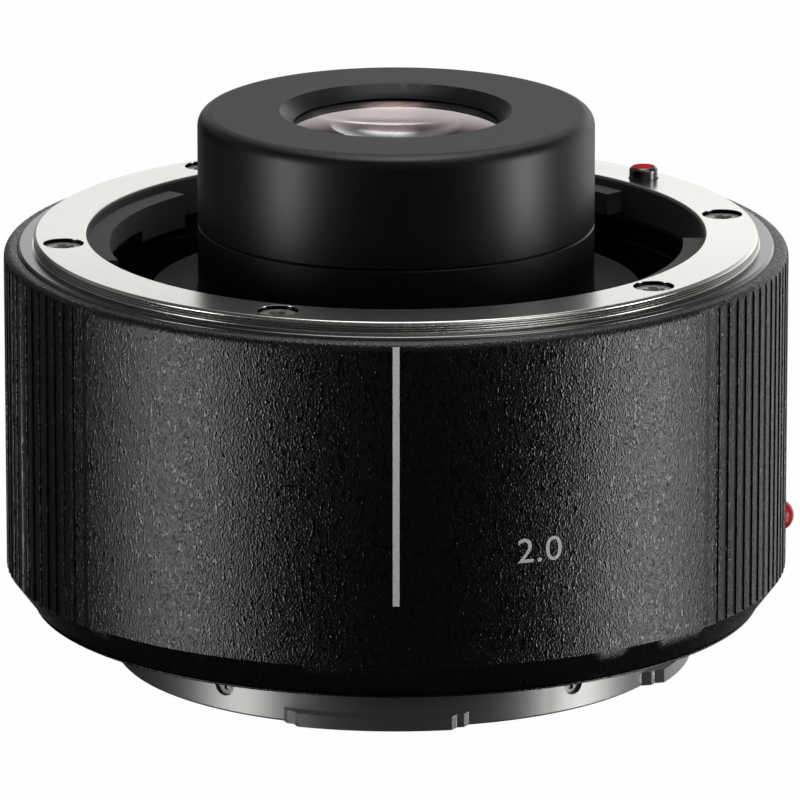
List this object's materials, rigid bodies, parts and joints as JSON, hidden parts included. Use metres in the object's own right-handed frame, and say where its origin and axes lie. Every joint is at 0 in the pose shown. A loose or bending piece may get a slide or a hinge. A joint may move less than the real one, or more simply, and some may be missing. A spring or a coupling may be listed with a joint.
{
  "type": "camera teleconverter",
  "caption": "Round black teleconverter with a bayonet mount at each end, a raised lens tube in the front ring, sprung contacts, a red-tipped lock pin and its release lever.",
  "frame": {"origin": "on the optical axis, in the plane of the rear mount face", "axes": "+Z along the optical axis towards the front lens, -Y towards the index line, +X towards the red index bead"},
  "size_m": [0.0746, 0.0738, 0.0524],
  "materials": {
    "crackle_paint": "fine crackle black paint on aluminium",
    "red_enamel": "glossy red",
    "satin_chrome": "satin chrome, turned on the lathe",
    "bayonet_metal": "satin turned metal",
    "screw_steel": "plated steel",
    "spring_steel": "bright spring steel",
    "black_anodised": "satin black anodised",
    "frame_metal": "matt black anodised",
    "black_plastic": "fine matt moulding",
    "coated_glass": "polished with a thin purple coating",
    "clear_glass": "polished",
    "board_laminate": "green solder mask",
    "cable_film": "amber film",
    "gold_plate": "gold plated",
    "plain_steel": "turned and stamped steel"
  },
  "bodies": {
    "converter": {"outer_barrel": "crackle_paint", "rear_ring": "crackle_paint", "index_bead": "red_enamel", "front_mount": "satin_chrome", "front_mount_screws": "screw_steel", "bayonet_spring": "spring_steel", "rear_mount": "bayonet_metal", "rear_mount_screws": "screw_steel", "rear_baffle": "black_plastic", "baffle_screws": "screw_steel", "inner_frame": "frame_metal", "rear_base": "frame_metal", "frame_screws": "screw_steel", "lens_tube": "black_anodised", "tube_screws": "screw_steel", "front_cap": "black_anodised", "front_convex_lens": "coated_glass", "front_meniscus_lens": "clear_glass", "front_spacer": "black_anodised", "triplet_front_lens": "clear_glass", "triplet_core_lens": "clear_glass", "triplet_rear_lens": "clear_glass", "rear_convex_lens": "clear_glass", "rear_spacer": "black_anodised", "rear_meniscus_lens": "coated_glass", "rear_retaining_ring": "black_anodised", "circuit_board": "board_laminate", "board_chips": "black_plastic", "board_screws": "screw_steel", "front_flex": "cable_film", "rear_flex": "cable_film", "front_contact_block": "black_plastic", "contact_block_screws": "screw_steel", "rear_contact_block": "black_plastic", "rear_contact_pads": "gold_plate", "rear_contact_screws": "screw_steel", "lock_spring": "spring_steel", "lock_bracket": "plain_steel", "bracket_screws": "screw_steel"},
    "lock": {"lock_pin": "plain_steel", "lock_mark": "red_enamel", "lock_follower": "plain_steel"},
    "release": {"release_button": "black_plastic", "release_cam": "plain_steel", "release_screws": "screw_steel"},
    "contact_1": {"contact_pin_1": "gold_plate"},
    "contact_2": {"contact_pin_2": "gold_plate"},
    "contact_3": {"contact_pin_3": "gold_plate"},
    "contact_4": {"contact_pin_4": "gold_plate"},
    "contact_5": {"contact_pin_5": "gold_plate"},
    "contact_6": {"contact_pin_6": "gold_plate"},
    "contact_7": {"contact_pin_7": "gold_plate"},
    "contact_8": {"contact_pin_8": "gold_plate"},
    "contact_9": {"contact_pin_9": "gold_plate"},
    "contact_10": {"contact_pin_10": "gold_plate"}
  },
  "joints": [
    {"name": "release_turn", "type": "hinge", "parent": "converter", "child": "release", "pos_m": [0, 0, 0.0262], "axis": [0, 0, 1], "range_deg": [0, 5], "stiffness_Nm_per_rad": 0.5},
    {"name": "lock_slide", "type": "slide", "parent": "converter", "child": "lock", "axis": [0, 0, -1], "range_m": [0, 0.0013], "deforming": ["lock_spring"]},
    {"name": "contact_1_slide", "type": "slide", "parent": "converter", "child": "contact_1", "axis": [0, 0, -1], "range_m": [0, 0.0008], "stiffness_N_per_m": 100},
    {"name": "contact_2_slide", "type": "slide", "parent": "converter", "child": "contact_2", "axis": [0, 0, -1], "range_m": [0, 0.0008], "stiffness_N_per_m": 100},
    {"name": "contact_3_slide", "type": "slide", "parent": "converter", "child": "contact_3", "axis": [0, 0, -1], "range_m": [0, 0.0008], "stiffness_N_per_m": 100},
    {"name": "contact_4_slide", "type": "slide", "parent": "converter", "child": "contact_4", "axis": [0, 0, -1], "range_m": [0, 0.0008], "stiffness_N_per_m": 100},
    {"name": "contact_5_slide", "type": "slide", "parent": "converter", "child": "contact_5", "axis": [0, 0, -1], "range_m": [0, 0.0008], "stiffness_N_per_m": 100},
    {"name": "contact_6_slide", "type": "slide", "parent": "converter", "child": "contact_6", "axis": [0, 0, -1], "range_m": [0, 0.0008], "stiffness_N_per_m": 100},
    {"name": "contact_7_slide", "type": "slide", "parent": "converter", "child": "contact_7", "axis": [0, 0, -1], "range_m": [0, 0.0008], "stiffness_N_per_m": 100},
    {"name": "contact_8_slide", "type": "slide", "parent": "converter", "child": "contact_8", "axis": [0, 0, -1], "range_m": [0, 0.0008], "stiffness_N_per_m": 100},
    {"name": "contact_9_slide", "type": "slide", "parent": "converter", "child": "contact_9", "axis": [0, 0, -1], "range_m": [0, 0.0008], "stiffness_N_per_m": 100},
    {"name": "contact_10_slide", "type": "slide", "parent": "converter", "child": "contact_10", "axis": [0, 0, -1], "range_m": [0, 0.0008], "stiffness_N_per_m": 100}
  ],
  "couplings": [
    {"joint": "lock_slide", "follows": "release_turn", "m_per_rad": 0.01489}
  ]
}
